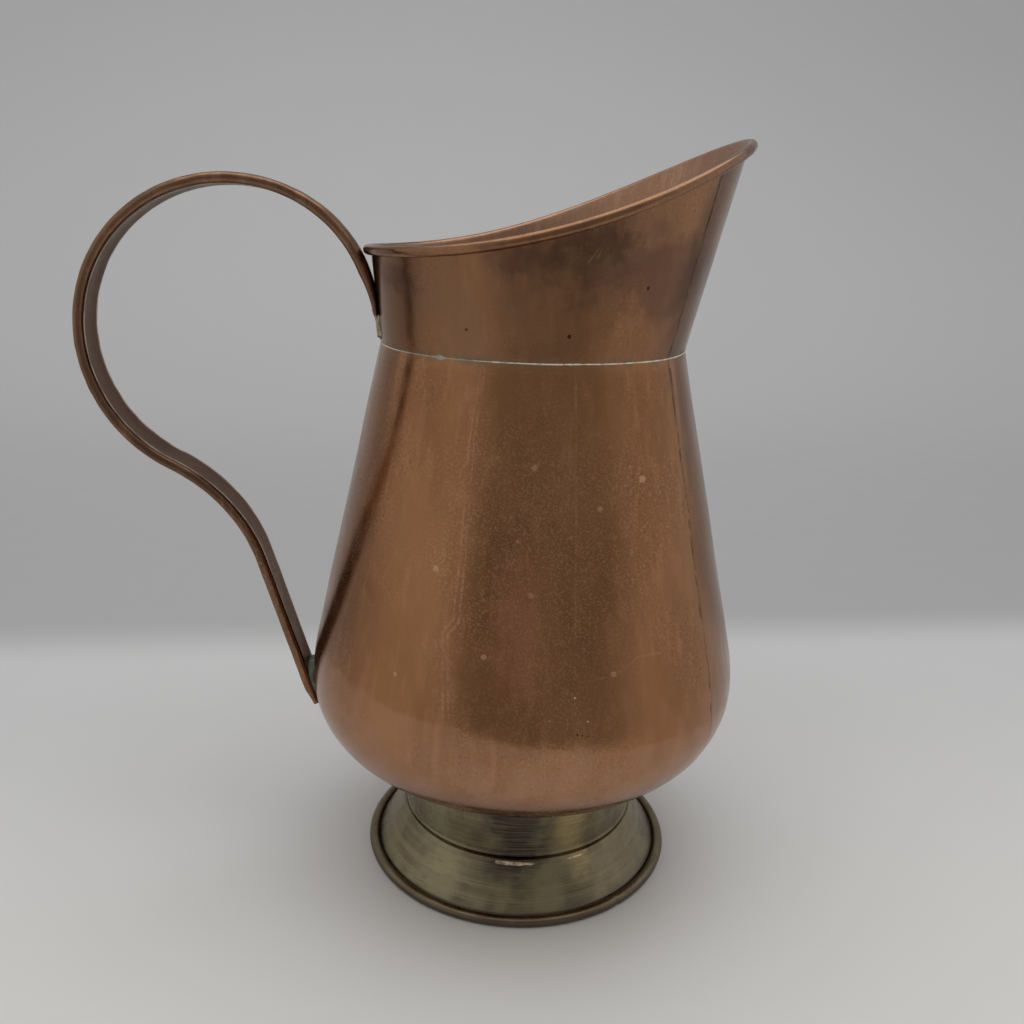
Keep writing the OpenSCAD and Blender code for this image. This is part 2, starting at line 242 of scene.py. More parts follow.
class Finish:
    """One procedural material, built node by node. Its places are in metres on the object."""

    def __init__(self, name, metallic, edge_tint=None):
        self.material = bpy.data.materials.new(name)
        self.material.use_nodes = True
        self.nodes = self.material.node_tree.nodes
        self.links = self.material.node_tree.links
        self.shader = self.nodes["Principled BSDF"]
        self.shader.inputs["Metallic"].default_value = metallic
        if edge_tint:
            self.shader.inputs["Specular Tint"].default_value = (*edge_tint, 1)
        self.place = self.add("ShaderNodeTexCoord").outputs["Object"]

    def add(self, kind, inputs=None, **settings):
        node = self.nodes.new(kind)
        for key, value in settings.items():
            setattr(node, key, value)
        for key, value in (inputs or {}).items():
            if isinstance(value, bpy.types.NodeSocket):
                self.links.new(value, node.inputs[key])
            else:
                node.inputs[key].default_value = value
        return node

    def stretched(self, stretch):
        node = self.add("ShaderNodeVectorMath", {0: self.place, 1: stretch}, operation="MULTIPLY")
        return node.outputs["Vector"]

    def noise(self, size_mm, detail=3.0, stretch=(1, 1, 1), roughness=0.55):
        """Cloudy noise from 0 to 1 with lumps of about size_mm."""
        inputs = {
            "Vector": self.stretched(stretch),
            "Scale": 1 / (size_mm * MM),
            "Detail": detail,
            "Roughness": roughness,
        }
        return self.add("ShaderNodeTexNoise", inputs).outputs["Fac"]

    def remap(self, value, low, high, out_low=0.0, out_high=1.0):
        inputs = {
            "Value": value,
            "From Min": low,
            "From Max": high,
            "To Min": out_low,
            "To Max": out_high,
        }
        node = self.add("ShaderNodeMapRange", inputs, interpolation_type="SMOOTHSTEP")
        return node.outputs["Result"]

    def sum(self, a, b):
        return self.add("ShaderNodeMath", {0: a, 1: b}, operation="ADD").outputs[0]

    def times(self, a, b):
        return self.add("ShaderNodeMath", {0: a, 1: b}, operation="MULTIPLY").outputs[0]

    def mix(self, share, a, b):
        node = self.add("ShaderNodeMix", data_type="RGBA")
        sockets = (node.inputs["Factor"], node.inputs[6], node.inputs[7])
        for socket, value in zip(sockets, (share, a, b)):
            if isinstance(value, bpy.types.NodeSocket):
                self.links.new(value, socket)
            elif isinstance(value, tuple):
                socket.default_value = (*value, 1)
            else:
                socket.default_value = value
        return node.outputs[2]

    def along(self, axis):
        """The place along one axis, in metres."""
        return self.add("ShaderNodeSeparateXYZ", {0: self.place}).outputs[axis]

    def near(self, value, middle_mm, half_mm):
        """1 where a length is close to middle_mm, fading out towards half_mm away."""
        gap = self.add("ShaderNodeMath", {0: value, 1: middle_mm * MM}, operation="SUBTRACT")
        gap = self.add("ShaderNodeMath", {0: gap.outputs[0]}, operation="ABSOLUTE")
        return self.remap(gap.outputs[0], 0.3 * half_mm * MM, half_mm * MM, 1.0, 0.0)

    def blot(self, centre_mm, radius_mm, soft=0.5, stretch=(1, 1, 1), ragged=0.25):
        """1 inside a ragged blot round a point, 0 outside."""
        centre = tuple(c * MM * s for c, s in zip(centre_mm, stretch))
        place = self.stretched(stretch)
        gap = self.add("ShaderNodeVectorMath", {0: place, 1: centre}, operation="DISTANCE")
        radius = radius_mm * MM
        waver = self.remap(self.noise(radius_mm * 0.7), 0.3, 0.7, -ragged * radius, ragged * radius)
        reach = self.sum(gap.outputs["Value"], waver)
        return self.remap(reach, radius * (1 - soft), radius * (1 + soft), 1.0, 0.0)

    def scratch(self, start_mm, end_mm, width_mm):
        """1 on a thin wavering line between two points, 0 elsewhere."""
        start = tuple(c * MM for c in start_mm)
        run = tuple((b - a) * MM for a, b in zip(start_mm, end_mm))
        run_squared = sum(c * c for c in run)
        width = width_mm * MM
        offset = self.add("ShaderNodeVectorMath", {0: self.place, 1: start}, operation="SUBTRACT")
        offset = offset.outputs[0]
        dot = self.add("ShaderNodeVectorMath", {0: offset, 1: run}, operation="DOT_PRODUCT")
        share = self.add("ShaderNodeMath", {0: dot.outputs["Value"], 1: run_squared},
                         operation="DIVIDE", use_clamp=True)
        foot = self.add("ShaderNodeVectorMath", {0: run, "Scale": share.outputs[0]}, operation="SCALE")
        gap = self.add("ShaderNodeVectorMath", {0: offset, 1: foot.outputs[0]}, operation="DISTANCE")
        waver = self.remap(self.noise(9.0), 0.3, 0.7, -0.6 * width, 0.6 * width)
        return self.remap(self.sum(gap.outputs["Value"], waver), 0.2 * width, width, 1.0, 0.0)

    def bump(self, height, depth_mm, below=None):
        inputs = {"Height": height, "Distance": depth_mm * MM, "Strength": 1.0}
        if below is not None:
            inputs["Normal"] = below
        return self.add("ShaderNodeBump", inputs).outputs["Normal"]

    def wear(self):
        """1 on outward edges, where hands and cloths rub the tarnish off."""
        point = self.add("ShaderNodeNewGeometry").outputs["Pointiness"]
        return self.remap(point, 0.5, 0.56)

    def done(self, colour, roughness, normal):
        self.links.new(colour, self.shader.inputs["Base Color"])
        self.links.new(roughness, self.shader.inputs["Roughness"])
        self.links.new(normal, self.shader.inputs["Normal"])
        return self.material


def on_jug(angle_deg, z):
    """A point on the body or the collar, for placing a mark."""
    angle = math.radians(angle_deg)
    if z > NECK_Z:
        return collar_point(angle, z - NECK_Z)
    return around(body_radius(z), angle, z)


def mark_copper(f, colour, shine, relief, light):
    """Stains, spots, pits and lines that the jug's copper carries in known places, and painted
    reflections: a paler lower bowl and faint upright light lines.
    """
    dulled = f.remap(f.along("Z"), (NECK_Z - 0.3) * MM, (NECK_Z + 0.3) * MM, 0.0, 0.7)
    dulled = f.times(dulled, f.remap(f.noise(24, 4, (1, 1, 0.5)), 0.35, 0.65, 0.35, 1.0))
    colour = f.mix(dulled, colour, COLLAR_TONE)
    # Painted reflection: the lower bowl is painted paler below a slanting line and paler still lower
    # down, as the pale table mirrored in the copper
    horizon_line = f.sum(f.along("Z"), f.times(f.along("X"), REFLECTED_HORIZON_SLOPE))
    horizon_line = f.sum(horizon_line, f.remap(f.noise(14, 3), 0.3, 0.7, -1.2 * MM, 1.2 * MM))
    horizon_reflection = f.remap(horizon_line, (REFLECTED_HORIZON_Z + 1) * MM, (REFLECTED_HORIZON_Z - 1) * MM, 0.0, 0.25)
    floor_reflection = f.sum(horizon_reflection, f.remap(f.along("Z"), FLOOR_REFLECTION_FROM * MM, FLOOR_REFLECTION_TO * MM, 0.0, 0.6))
    floor_reflection = f.times(floor_reflection, f.remap(f.noise(11, 5), 0.35, 0.65, 0.6, 1.0))
    colour = f.mix(floor_reflection, colour, BOWL_REFLECTION_TONE)
    sandy = f.blot(on_jug(*SANDY), SANDY_R, 0.6, (1, 1, 0.6), 0.3)
    sand = f.remap(f.noise(0.8, 1), 0.52, 0.62)
    colour = f.mix(f.times(f.times(sand, sandy), 0.4), colour, SAND_COLOUR)
    for angle, z, radius, share in STAINS:
        stain = f.blot(on_jug(angle, z), radius, 0.7, (0.5, 0.5, 1.2), 0.5)
        colour = f.mix(f.times(stain, share), colour, STAIN_COLOUR)
    blush = f.blot(on_jug(*BLUSH), BLUSH_R, 0.7, (1, 1, 0.3), 0.3)
    colour = f.mix(f.times(blush, 0.35), colour, BLUSH_COLOUR)
    for angle, z, radius in SPOTS:
        spot = f.blot(on_jug(angle, z), radius, 0.25)
        colour = f.mix(f.times(spot, 0.85), colour, SPOT_COLOUR)
        shine = f.sum(shine, f.times(spot, 0.12))
    for angle, z, radius in BRIGHT_SPECKS:
        colour = f.mix(f.blot(on_jug(angle, z), radius, 0.3), colour, BRIGHT_COLOUR)
    for angle, z, radius in DARK_PITS:
        pit = f.blot(on_jug(angle, z), radius, 0.3)
        colour = f.mix(f.times(pit, 0.85), colour, PIT_COLOUR)
        relief = f.sum(relief, f.times(pit, -2.0))
    for places in SCRATCHES:
        for start, end in zip(places, places[1:]):
            line = f.scratch(on_jug(*start), on_jug(*end), 0.28)
            colour = f.mix(f.times(line, 0.45), colour, light)
            relief = f.sum(relief, f.times(line, -0.8))
    # Painted reflections: faint broken upright light lines on the copper
    broken = f.remap(f.noise(1.6), 0.4, 0.6, 0.2, 0.8)
    for places in UPRIGHT_REFLECTION_LINES:
        for start, end in zip(places, places[1:]):
            line = f.scratch(on_jug(*start), on_jug(*end), 0.5)
            colour = f.mix(f.times(line, broken), colour, light)
    for start, end in zip(LAP_EDGE, LAP_EDGE[1:]):
        line = f.scratch(on_jug(*start), on_jug(*end), 0.5)
        colour = f.mix(f.times(line, 0.85), colour, LAP_COLOUR)
    flux = f.times(f.near(f.along("Z"), NECK_Z, 3.0), f.remap(f.noise(6, 4), 0.4, 0.65))
    colour = f.mix(f.times(flux, 0.45), colour, FLUX_COLOUR)
    shine = f.sum(shine, f.times(flux, 0.2))
    return colour, shine, relief


def copper(name, tones, gloss, marks=False, strap_highlight_y=None, edge_tint=None):
    """Old copper: brown tones drawn out upright, fine specks and pits, brighter edges.

    strap_highlight_y is how far from the middle a painted highlight runs along a strap's two edges,
    with a thin painted shade line just outside it, and edge_tint dulls what a tarnished face mirrors at
    a glancing angle.
    """
    f = Finish(name, 1.0, edge_tint)
    dark, middle, light = tones
    clouds = f.noise(40, 3, (1, 1, 0.3))
    mottle = f.noise(7, 4, (1, 1, 0.5))
    grain = f.noise(1.0, 1.5)
    strokes = f.noise(4, 3, (1, 1, 0.03))
    colour = f.mix(f.remap(clouds, 0.36, 0.66), dark, middle)
    colour = f.mix(f.remap(mottle, 0.5, 0.8, 0.0, 0.3), colour, light)
    colour = f.mix(f.remap(strokes, 0.5, 0.75, 0.0, 0.35), colour, light)
    speckled = f.remap(f.noise(55, 2), 0.42, 0.6)
    specks = f.times(f.remap(grain, 0.56, 0.7), speckled)
    pits = f.times(f.remap(grain, 0.4, 0.3), speckled)
    colour = f.mix(f.times(specks, 0.4), colour, tuple(c * 1.2 for c in light))
    colour = f.mix(f.times(pits, 0.3), colour, tuple(c * 0.45 for c in dark))
    colour = f.mix(f.times(f.wear(), 0.5), colour, light)
    shine = f.sum(f.remap(mottle, 0.3, 0.75, gloss - 0.04, gloss + 0.06), f.times(pits, 0.15))
    relief = f.sum(f.times(grain, 0.3), f.times(f.remap(strokes, 0.3, 0.8), 0.3))
    if marks:
        colour, shine, relief = mark_copper(f, colour, shine, relief, light)
    if strap_highlight_y:
        # Painted highlight: a bright line along each edge of the strap, and a thin painted shade line
        # just outside it where the roll stands proud of the web
        side = f.add("ShaderNodeMath", {0: f.along("Y")}, operation="ABSOLUTE").outputs[0]
        strap_highlight = f.times(f.near(side, strap_highlight_y, 1.0), f.remap(f.noise(7, 3), 0.35, 0.6, 0.3, 0.9))
        colour = f.mix(strap_highlight, colour, STRAP_HIGHLIGHT_COLOUR)
        strap_shade_line = f.near(side, strap_highlight_y + 1.0, 0.6)
        colour = f.mix(f.times(strap_shade_line, 0.8), colour, STRAP_SHADE_LINE_COLOUR)
    return f.done(colour, shine, f.bump(relief, 0.03))


def brass(name):
    """Tarnished spun brass with fine turning lines round it, and painted highlights and painted
    reflections on the foot.
    """
    f = Finish(name, 1.0)
    lines = f.noise(0.55, 3, (0.02, 0.02, 1), 0.6)
    bands = f.noise(3.2, 2, (0.01, 0.01, 1))
    clouds = f.noise(16, 4, (1, 1, 0.5))
    grime = f.noise(5, 5, (0.5, 0.5, 2.5))
    colour = f.mix(f.remap(clouds, 0.36, 0.64), (0.15, 0.12, 0.078), (0.25, 0.21, 0.125))
    colour = f.mix(f.remap(bands, 0.45, 0.7, 0.0, 0.5), colour, (0.32, 0.26, 0.15))
    colour = f.mix(f.remap(grime, 0.58, 0.78, 0.0, 0.5), colour, (0.09, 0.07, 0.05))
    colour = f.mix(f.times(f.wear(), 0.6), colour, (0.4, 0.32, 0.19))
    # Painted light and shade on the foot: dark painted reflections and bright painted highlights,
    # striped by the turning lines
    for angle, z, radius, size, share, tone in FOOT_LIGHT_SHADE_PATCHES:
        patch = f.blot(around(radius, math.radians(angle), z), size, 0.6, (1, 1, 0.6), 0.3)
        turned = f.remap(lines, 0.4, 0.6, 0.6 * share, 1.1 * share)
        colour = f.mix(f.times(patch, turned), colour, tone)
    # Painted highlights along the skirt's step
    for places in STEP_HIGHLIGHT_LINES:
        for start, end in zip(places, places[1:]):
            ends = [around(r, math.radians(angle), z) for angle, z, r in (start, end)]
            glint = f.times(f.scratch(*ends, 0.7), f.remap(f.noise(3, 3), 0.35, 0.6, 0.3, 0.9))
            colour = f.mix(glint, colour, GLINT_COLOUR)
    roll = f.remap(f.along("Z"), 3.2 * MM, 4.4 * MM, 0.8, 0.0)
    colour = f.mix(roll, colour, ROLL_COLOUR)
    shine = f.sum(f.remap(clouds, 0.3, 0.7, 0.22, 0.36), f.remap(grime, 0.5, 0.75, 0.0, 0.15))
    relief = f.sum(f.times(lines, 0.8), f.times(f.noise(1.2, 3), 0.25))
    return f.done(colour, shine, f.bump(relief, 0.05))


def crust(name, metallic, base, patch, patch_from, gloss, stain=None):
    """Solder and what grows on it: lumpy, dull, with patches of a second colour.

    stain is the place and the radius of a spot where the second colour has the upper hand.
    """
    f = Finish(name, metallic)
    lumps = f.noise(1.6, 4)
    patches = f.noise(3.5, 5)
    dirt = f.noise(0.8, 3)
    colour = f.mix(f.remap(patches, patch_from, patch_from + 0.14), base, patch)
    colour = f.mix(f.remap(dirt, 0.55, 0.75, 0.0, 0.7), colour, tuple(c * 0.3 for c in base))
    if stain:
        colour = f.mix(f.times(f.blot(*stain), 0.75), colour, patch)
    shine = f.remap(lumps, 0.3, 0.7, gloss, gloss + 0.2)
    return f.done(colour, shine, f.bump(f.sum(lumps, f.times(dirt, 0.4)), 0.25))


# ---------- the body ----------

flank = Vector((BELLY_R - FLANK_CURVE_R, BELLY_Z))
bowl = Vector((BELLY_R - BOWL_CURVE_R, BELLY_Z))
floor_arc = bowl - polar(FLOOR_CURVE_R - BOWL_CURVE_R, -BOWL_TURN)
neck_point = Vector((NECK_R, NECK_Z))
to_neck = neck_point - flank
cone_angle = math.atan2(to_neck.y, to_neck.x) - math.acos(FLANK_CURVE_R / to_neck.length)
lap_r = NECK_R - COLLAR_SHEET - 0.05
CREASES = (math.radians(-117), math.radians(-83))


def cone_radius(z):
    return NECK_R + (NECK_Z - z) * math.tan(cone_angle)


def body_radius(z):
    """The body's outer radius at a height, from the neck down to the foot of its tight curve."""
    if z > BELLY_Z + FLANK_CURVE_R * math.sin(cone_angle):
        return cone_radius(z)
    if z > BELLY_Z:
        return flank.x + math.sqrt(FLANK_CURVE_R ** 2 - (z - BELLY_Z) ** 2)
    return bowl.x + math.sqrt(BOWL_CURVE_R ** 2 - (z - BELLY_Z) ** 2)


def floor_height(radius, inset):
    return floor_arc.y - math.sqrt((FLOOR_CURVE_R - inset) ** 2 - (radius - floor_arc.x) ** 2)


def body_curve(inset, last_r):
    """The body's outline from the neck down to a radius in its floor, moved in by inset."""
    top = neck_point - polar(inset, cone_angle)
    cone_end = flank + polar(FLANK_CURVE_R - inset, cone_angle)
    last = -math.acos((last_r - floor_arc.x) / (FLOOR_CURVE_R - inset))
    return (straight(top, cone_end, 3.0)
            + arc(flank, FLANK_CURVE_R - inset, cone_angle, 0, 2.0)
            + arc(bowl, BOWL_CURVE_R - inset, -0.04, -BOWL_TURN, 1.6)
            + arc(floor_arc, FLOOR_CURVE_R - inset, -BOWL_TURN - 0.02, last, 2.5))


def sheet_unevenness(point, angle):
    """Hand-worked copper is never quite round: soft dents, upright creases and the lap at the seam."""
    out = Vector((math.cos(angle), math.sin(angle), 0))
    depth = rough(point, 60, 0.35, 1) + rough(point, 21, 0.12, 2)
    reach = smooth_step((NECK_Z - 4 - point.z) / 12) * smooth_step((point.z - 58) / 10)
    for crease in CREASES:
        depth -= 0.03 * reach * bell(angle_between(angle, crease) * 80, 1.3)
    past = -angle_between(angle, SEAM) * 75
    if past > 0:
        depth += 0.32 * reach * math.exp(-past / 9)
    return point + out * depth


def make_body(finish, inner_finish):
    tongue_top = NECK_Z + LAP_H
    shoulder = [Vector((lap_r, tongue_top)), Vector((lap_r, NECK_Z + 0.1))]
    outside = shoulder + body_curve(0, BASE_HOLE_R)
    inside = [Vector((lap_r - SHEET, tongue_top)), Vector((lap_r - SHEET, NECK_Z - 0.4))]
    inside += [p for p in body_curve(SHEET, BASE_HOLE_R) if p.y < NECK_Z - 2.2]
    profile = outside + inside[::-1]

    def change(point, angle):
        if point.z > NECK_Z - 1 or point.z < floor_height(DRUM_R + 4, 0):
            return point
        return sheet_unevenness(point, angle)

    rings = lathe(profile, turns(300, (SEAM, *CREASES)), change)
    return piece("jug_body", [rings], finish, ["body"], (len(outside), inner_finish))


# ---------- the collar ----------

def collar_point(angle, height, inset=0.0):
    radius = NECK_R + COLLAR_FLARE * height - inset
    return Vector((COLLAR_LEAN * height, 0, NECK_Z + height)) + around(radius, angle, 0)


def collar_out(angle):
    slope = COLLAR_FLARE + COLLAR_LEAN * math.cos(angle)
    return Vector((math.cos(angle), math.sin(angle), -slope)).normalized()


def rim_height(angle):
    return RIM_BACK_H + LIP_RISE * ((1 + math.cos(angle)) / 2) ** LIP_SHAPE


def rim_point(angle):
    return collar_point(angle, rim_height(angle))


def around_rim(angle, radius, turn):
    """A point round the wire in the rim. Turn 0 faces out of the jug and a quarter turn up."""
    small = 0.01
    out = collar_out(angle)
    along = (rim_point(angle + small) - rim_point(angle - small)).normalized()
    up = out.cross(along)
    centre = rim_point(angle) + RIM_WIRE_R * out
    uneven = 1 + 0.035 * noise.noise(centre / 4)
    return centre + (out * math.cos(turn) + up * math.sin(turn)) * radius * uneven


def make_collar(finish, inner_finish):
    roll_end = -math.acos(-RIM_WIRE_R / RIM_ROLL_R) + math.radians(8)
    roll_steps = 22
    wall_steps = 20
    rings = []
    for angle in turns(320, (SEAM,)):
        past = -angle_between(angle, SEAM) * 70
        lap = 0.3 * math.exp(-past / 8) if past > 0 else 0.0
        top = rim_height(angle)
        out = collar_out(angle)
        wall = []
        for i in range(wall_steps):
            share = i / wall_steps
            point = collar_point(angle, top * share)
            fade = smooth_step(share * 6) * smooth_step((1 - share) * 5)
            depth = fade * (rough(point, 45, 0.3, 3) + rough(point, 17, 0.1, 4) + lap)
            wall.append((point + out * depth, point + out * (depth - COLLAR_SHEET)))
        outer = [pair[0] for pair in wall]
        inner = [pair[1] for pair in wall]
        start = math.pi
        curls = [start + (roll_end - start) * i / roll_steps for i in range(roll_steps + 1)]
        under = [around_rim(angle, RIM_WIRE_R, turn) for turn in curls]
        over = [around_rim(angle, RIM_ROLL_R, turn) for turn in reversed(curls)]
        rings.append(outer + under + over + inner[::-1])
    first_inner = wall_steps + 2 * (roll_steps + 1) - 4
    return piece("jug_collar", [(rings, True)], finish, ["collar"],
                 (first_inner, inner_finish))


# ---------- the handle ----------

def handle_path():
    """The line midway between the strap's wires, as (distance from the axis, height), top first."""
    lean = math.atan(COLLAR_FLARE - COLLAR_LEAN)
    roundness = NECK_R - math.sqrt(NECK_R ** 2 - (STRAP_PITCH / 2) ** 2)
    foot = Vector((NECK_R + STRAP_ROLL_R - roundness, NECK_Z))
    up = Vector((math.sin(lean), math.cos(lean)))
    out = Vector((math.cos(lean), -math.sin(lean)))
    down = Vector((-math.sin(LEG_LEAN), -math.cos(LEG_LEAN)))
    leg_out = Vector((math.cos(LEG_LEAN), -math.sin(LEG_LEAN)))

    def on_circle(start, direction, radius):
        offset = start - LOOP
        along = offset.dot(direction)
        return start + direction * (-along + math.sqrt(along ** 2 - offset.dot(offset) + radius ** 2))

    top = on_circle(foot + TOP_BEND_R * out, up, LOOP_R - TOP_BEND_R)
    low = on_circle(LEG + LOW_BEND_R * leg_out, down, LOOP_R + LOW_BEND_R)
    loop_start = math.atan2(top.y - LOOP.y, top.x - LOOP.x)
    loop_end = math.atan2(low.y - LOOP.y, low.x - LOOP.x)
    first = foot + up * (ROLLS_END_Z - NECK_Z) / math.cos(lean)
    last = LEG + down * (LEG.y - LEG_END_Z) / math.cos(LEG_LEAN)
    path = [first]
    path += arc(top, TOP_BEND_R, math.pi - lean, loop_start, STRAP_STEP)
    path += arc(LOOP, LOOP_R, loop_start, loop_end, STRAP_STEP)[1:]
    low_arc = arc(low, LOW_BEND_R, math.pi + loop_end, math.pi - LEG_LEAN, STRAP_STEP)
    path += low_arc[1:-1]
    path += straight(low_arc[-1], last, STRAP_STEP)
    return path + [last]


def make_strap(finish, inner_finish):
    path = handle_path()
    curl_steps = 20
    start = math.radians(-90)
    stop = math.radians(205)
    turn_list = [start + (stop - start) * i / curl_steps for i in range(curl_steps + 1)]
    half = STRAP_PITCH / 2
    web_steps = 8

    def web(level):
        """The web between the rolls, a little hollow on the loop's inner side."""
        shares = [2 * i / web_steps - 1 for i in range(1, web_steps)]
        return [Vector((-share * half, level + 0.35 * (1 - share ** 2))) for share in shares]

    right = [Vector((half, 0)) + polar(STRAP_ROLL_R, t) for t in turn_list]
    right += [Vector((half, 0)) + polar(STRAP_WIRE_R, t) for t in reversed(turn_list)]
    left = [Vector((-p.x, p.y)) for p in reversed(right)]
    inner_web = web(-STRAP_ROLL_R)
    outer_web = web(-STRAP_WIRE_R)
    section = right + outer_web + left + inner_web[::-1]
    first_inner = len(section) - len(inner_web) - 1

    rings = []
    for i, point in enumerate(path):
        along = (path[min(i + 1, len(path) - 1)] - path[max(i - 1, 0)]).normalized()
        outward = Vector((-along.y, along.x))
        ring = []
        at_leg = 0.35 * smooth_step((LEG_END_Z + 8 - point.y) / 8)
        at_top = 0.0
        if i < len(path) / 4:
            at_top = (1 - TOP_FLATNESS) * max(0.0, 1 - (point.y - ROLLS_END_Z) / PRESSED_H)
        sway = rough(Vector((0, 0, i * STRAP_STEP)), 45, 0.3, 5)
        for p in section:
            level = p.y - at_leg * (p.y + STRAP_ROLL_R) + at_top * (STRAP_ROLL_R - p.y)
            at = point + outward * level
            spot = Vector((-at.x, p.x, at.y))
            wear = 1 + 0.03 * noise.noise(spot / 5)
            at = point + outward * level * wear
            ring.append(Vector((-at.x, p.x * wear + sway * 0.5, at.y)))
        rings.append(ring)

    lean = COLLAR_FLARE - COLLAR_LEAN
    tongue = []
    rows = 12
    top = path[1] - Vector((0, 1.0))
    for i in range(rows + 1):
        share = i / rows
        z = top.y + (TONGUE_END_Z - top.y) * share
        on_collar = NECK_R + lean * (z - NECK_Z) + 0.1
        web_x = top.x - lean * (top.y - z)
        web_x += (STRAP_ROLL_R + STRAP_WIRE_R) * TOP_FLATNESS - STRAP_ROLL_R
        bend = smooth_step(share * 2.2)
        x = web_x + (on_collar - web_x) * bend
        width = (half - 0.4) * (1 - 3.5 * max(0.0, share - 0.8) ** 2)
        columns = [2 * j / web_steps - 1 for j in range(web_steps + 1)]
        outer = [Vector((-(x + STRAP_SHEET), c * width, z)) for c in columns]
        inner = [Vector((-x, c * width, z)) for c in reversed(columns)]
        tongue.append(outer + inner)
    parts = [(rings, False), (tongue, False)]
    return piece("handle_strap_rolled", parts, finish, ["handle_strap"],
                 (first_inner, inner_finish))


# ---------- the foot ----------

def make_drum(finish):
    top = floor_height(DRUM_R, 0) - 0.05
    low = DRUM_Z
    ridges = 34
    outside = []
    for i in range(ridges * 4 + 1):
        share = i / (ridges * 4)
        groove = 0.05 * math.cos(math.tau * share * ridges) * (0.6 + 0.4 * math.sin(share * 23))
        bead = 0.35 * bell((share - 0.03) * 28, 0.6)
        outside.append(Vector((DRUM_R - 0.12 + groove + bead, low + (top - low) * share)))
    inside = [Vector((DRUM_R - DRUM_SHEET, floor_height(DRUM_R - DRUM_SHEET, 0) - 0.05))]
    inside.append(Vector((DRUM_R - DRUM_SHEET, low)))

    def change(point, angle):
        return point + around(rough(point, 30, 0.12, 6), angle, 0)

    return piece("foot_drum_turned", [lathe(outside + inside, turns(256), change)],
                 finish, ["foot_drum"])


def make_skirt(finish):
    upstand_r = DRUM_R - DRUM_SHEET - 0.05
    upstand_top = DRUM_Z + 5
    step_w = 1.6
    step_curve = 1.2
    wire_r = SKIRT_ROLL_R - SKIRT_SHEET
    roll = Vector((SKIRT_WIRE_PITCH_R, SKIRT_ROLL_R - FOOT_WEAR))
    step = Vector((DRUM_R + step_w - step_curve, DRUM_Z - step_curve))
    span = roll - step
    slope = math.atan2(span.y, span.x) + math.acos((step_curve + wire_r) / span.length)
    roll_start = slope - math.pi
    roll_stop = roll_start + math.radians(300)
    step_arc = arc(step, step_curve, math.pi / 2, slope, 0.3)
    outer_roll = arc(roll, wire_r, roll_start, roll_stop, 0.3)
    slope_points = straight(step_arc[-1], outer_roll[0], 0.45)[1:]
    across = (outer_roll[0] - step_arc[-1]).orthogonal().normalized()
    turned = []
    for i, p in enumerate(slope_points):
        share = i / len(slope_points)
        depth = 0.045 * math.cos(i * 2.1) + 0.35 * math.sin(share * math.pi)
        turned.append(p - across * depth)
    outside = [Vector((upstand_r, upstand_top)), Vector((upstand_r, DRUM_Z))]
    outside += step_arc + turned + outer_roll
    inner_step = arc(step, step_curve - SKIRT_SHEET, math.pi / 2, slope, 0.1)
    inner_roll = arc(roll, SKIRT_ROLL_R, roll_start, roll_stop, 0.35)
    hidden_r = upstand_r - SKIRT_SHEET
    inside = [Vector((hidden_r, upstand_top)), Vector((hidden_r, DRUM_Z - SKIRT_SHEET))]
    inside += inner_step + straight(inner_step[-1], inner_roll[0], 2.0)[1:] + inner_roll
    profile = outside + inside[::-1]

    def change(point, angle):
        on_roll = smooth_step((math.hypot(point.x, point.y) - SKIRT_WIRE_PITCH_R + 3) / 3)
        notch = 0.5 * on_roll * bell(angle_between(angle, BUTT) * 70, 0.35)
        depth = rough(point, 26, 0.25, 7) * smooth_step((point.z - 1) / 6) - notch
        moved = point + around(depth, angle, 0)
        moved.z = max(moved.z, 0.0)
        return moved

    return piece("foot_skirt_turned", [lathe(profile, turns(280, (BUTT,)), change)],
                 finish, ["foot_skirt"])


# ---------- solder ----------

def make_neck_solder(finish):
    """A thin uneven thread of solder in the corner between body and collar, with one green lump."""
    lump_at = math.radians(LUMP_AT)
    rings = []
    for angle in turns(420):
        here = around(NECK_R, angle, NECK_Z)
        lump = bell(angle_between(angle, lump_at) * NECK_R, 1.6)
        half = 0.3 + rough(here, 3, 0.2, 8) + rough(here, 0.9, 0.1, 9) + 0.9 * lump
        proud = 0.26 + rough(here, 2.2, 0.16, 10) + 0.5 * lump
        drift = rough(here, 18, 0.25, 11)
        ring = []
        for i in range(8):
            turn = math.tau * i / 8
            radius = NECK_R - 0.15 + (proud + 0.15) * math.cos(turn)
            ring.append(around(radius, angle, NECK_Z + drift + half * math.sin(turn)))
        rings.append(ring)
    return piece("neck_solder_line", [(rings, True)], finish, ["neck_solder"])


def ribbon(stations, width):
    """A thin raised thread along stations of (point, outward, sideways)."""
    rings = []
    for i, (point, out, side) in enumerate(stations):
        half = width * (0.5 + 0.35 * noise.noise(point / 4) + 0.2 * noise.noise(point / 1.1))
        proud = 0.1 + 0.14 * abs(noise.noise(point / 2.3))
        drift = 0.25 * noise.noise(point / 14)
        ring = []
        for across, up in ((-1, -0.35), (-0.8, 0.5), (0, 1), (0.8, 0.5), (1, -0.35), (0, -0.6)):
            ring.append(point + side * (across * half + drift) + out * up * proud)
        rings.append(ring)
    return rings, False


def make_body_seam(finish):
    angle = SEAM + math.radians(0.35)
    side = Vector((-math.sin(angle), math.cos(angle), 0))
    curve = [p for p in body_curve(0, DRUM_R + 5) if p.y < NECK_Z - 1]
    fine = []
    for a, b in zip(curve, curve[1:]):
        fine += straight(a, b, 0.9)
    stations = []
    for i, p in enumerate(fine[1:-1]):
        run = (fine[i + 2] - fine[i]).normalized()
        out = around(-run.y, angle, run.x)
        point = sheet_unevenness(around(p.x, angle, p.y), angle)
        stations.append((point, out, side))
    return piece("body_seam_line", [ribbon(stations, 0.8)], finish,
                 ["body_seam_solder"])


